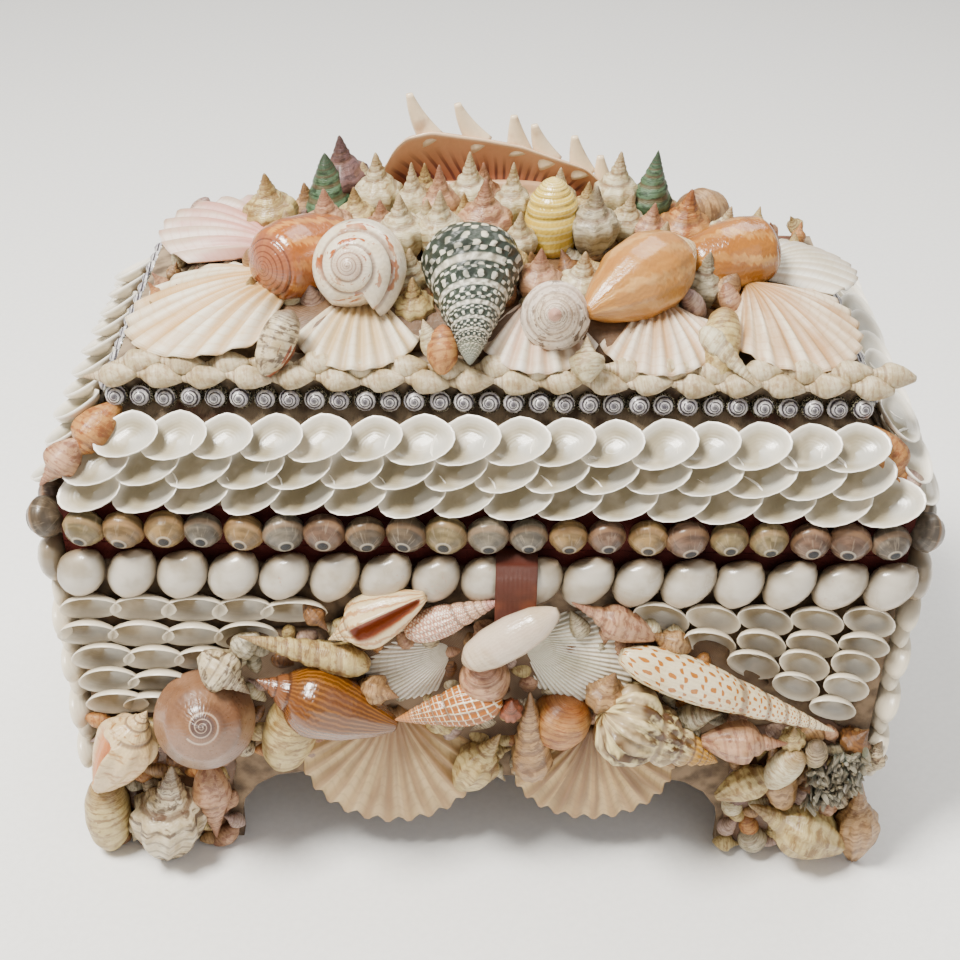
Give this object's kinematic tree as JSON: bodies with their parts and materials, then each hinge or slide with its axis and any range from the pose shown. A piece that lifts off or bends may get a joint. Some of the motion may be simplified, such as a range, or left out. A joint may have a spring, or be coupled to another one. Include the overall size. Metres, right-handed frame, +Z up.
{
  "type": "shell box",
  "caption": "Lidded keepsake box on four bracket feet, covered in rows of sea shells, with a heap of large shells on its roof.",
  "frame": {"origin": "bottom centre of the whole, on the floor under the feet", "axes": "+X along the front to the right, +Y from the front to the back, +Z up"},
  "size_m": [0.3766, 0.2378, 0.3193],
  "materials": {
    "red_wood": "dark red cloth over board, matt",
    "copper_satin": "satin ribbon, copper brown",
    "white_shell": "white shell, satin to glossy",
    "cream_shell": "cream shell, satin",
    "brown_shell": "brown and olive shell, glossy",
    "silver_shell": "silver-grey mother of pearl, glossy",
    "pink_shell": "pink shell, satin",
    "orange_shell": "orange shell, glossy",
    "yellow_shell": "yellow shell, glossy",
    "dark_shell": "dark green-grey shell with white beads, satin",
    "spotted_shell": "white shell with brown and orange spots, glossy"
  },
  "bodies": {
    "root": {"base_carcase": "red_wood", "lid_carcase": "red_wood", "pull_tab": "copper_satin", "smooth_olive": "white_shell", "scallop_left_front": "white_shell", "scallop_left_back": "white_shell", "scallop_front_left": "white_shell", "scallop_front_middle": "white_shell", "scallop_front_right": "white_shell", "scallop_right_front": "white_shell", "scallop_right_back": "white_shell", "ark_left": "white_shell", "ark_right": "white_shell", "egg_cowries_front": "white_shell", "egg_cowries_right": "white_shell", "egg_cowries_back": "white_shell", "egg_cowries_left": "white_shell", "lid_clams_front": "white_shell", "lid_clams_right": "white_shell", "lid_clams_back": "white_shell", "lid_clams_left": "white_shell", "base_clams_front_left": "white_shell", "base_clams_front_right": "white_shell", "base_clams_right": "white_shell", "base_clams_back": "white_shell", "base_clams_left": "white_shell", "orange_mouthed_whelk": "cream_shell", "back_scallops": "cream_shell", "apron_scallop_left": "cream_shell", "apron_scallop_right": "cream_shell", "small_roof_shells": "cream_shell", "small_front_shells": "cream_shell", "foot_shells_front_left": "cream_shell", "foot_shells_front_right": "cream_shell", "foot_shells_back_left": "cream_shell", "foot_shells_back_right": "cream_shell", "whelk_row_front": "cream_shell", "rim_snails_front": "brown_shell", "rim_snails_right": "brown_shell", "rim_snails_back": "brown_shell", "rim_snails_left": "brown_shell", "button_tops_front": "silver_shell", "button_tops_right": "silver_shell", "button_tops_back": "silver_shell", "button_tops_left": "silver_shell", "moon_snail": "pink_shell", "pink_mitre": "pink_shell", "spider_conch": "pink_shell", "dog_conch": "orange_shell", "banded_mitre": "orange_shell", "melon_volute": "orange_shell", "orange_olive_left": "orange_shell", "orange_olive_right": "orange_shell", "yellow_bulla": "yellow_shell", "dark_turban": "dark_shell", "spotted_whelk": "spotted_shell", "speckled_top": "spotted_shell", "open_conch": "spotted_shell", "striped_turban": "spotted_shell", "spotted_mitre": "spotted_shell"}
  },
  "joints": []
}
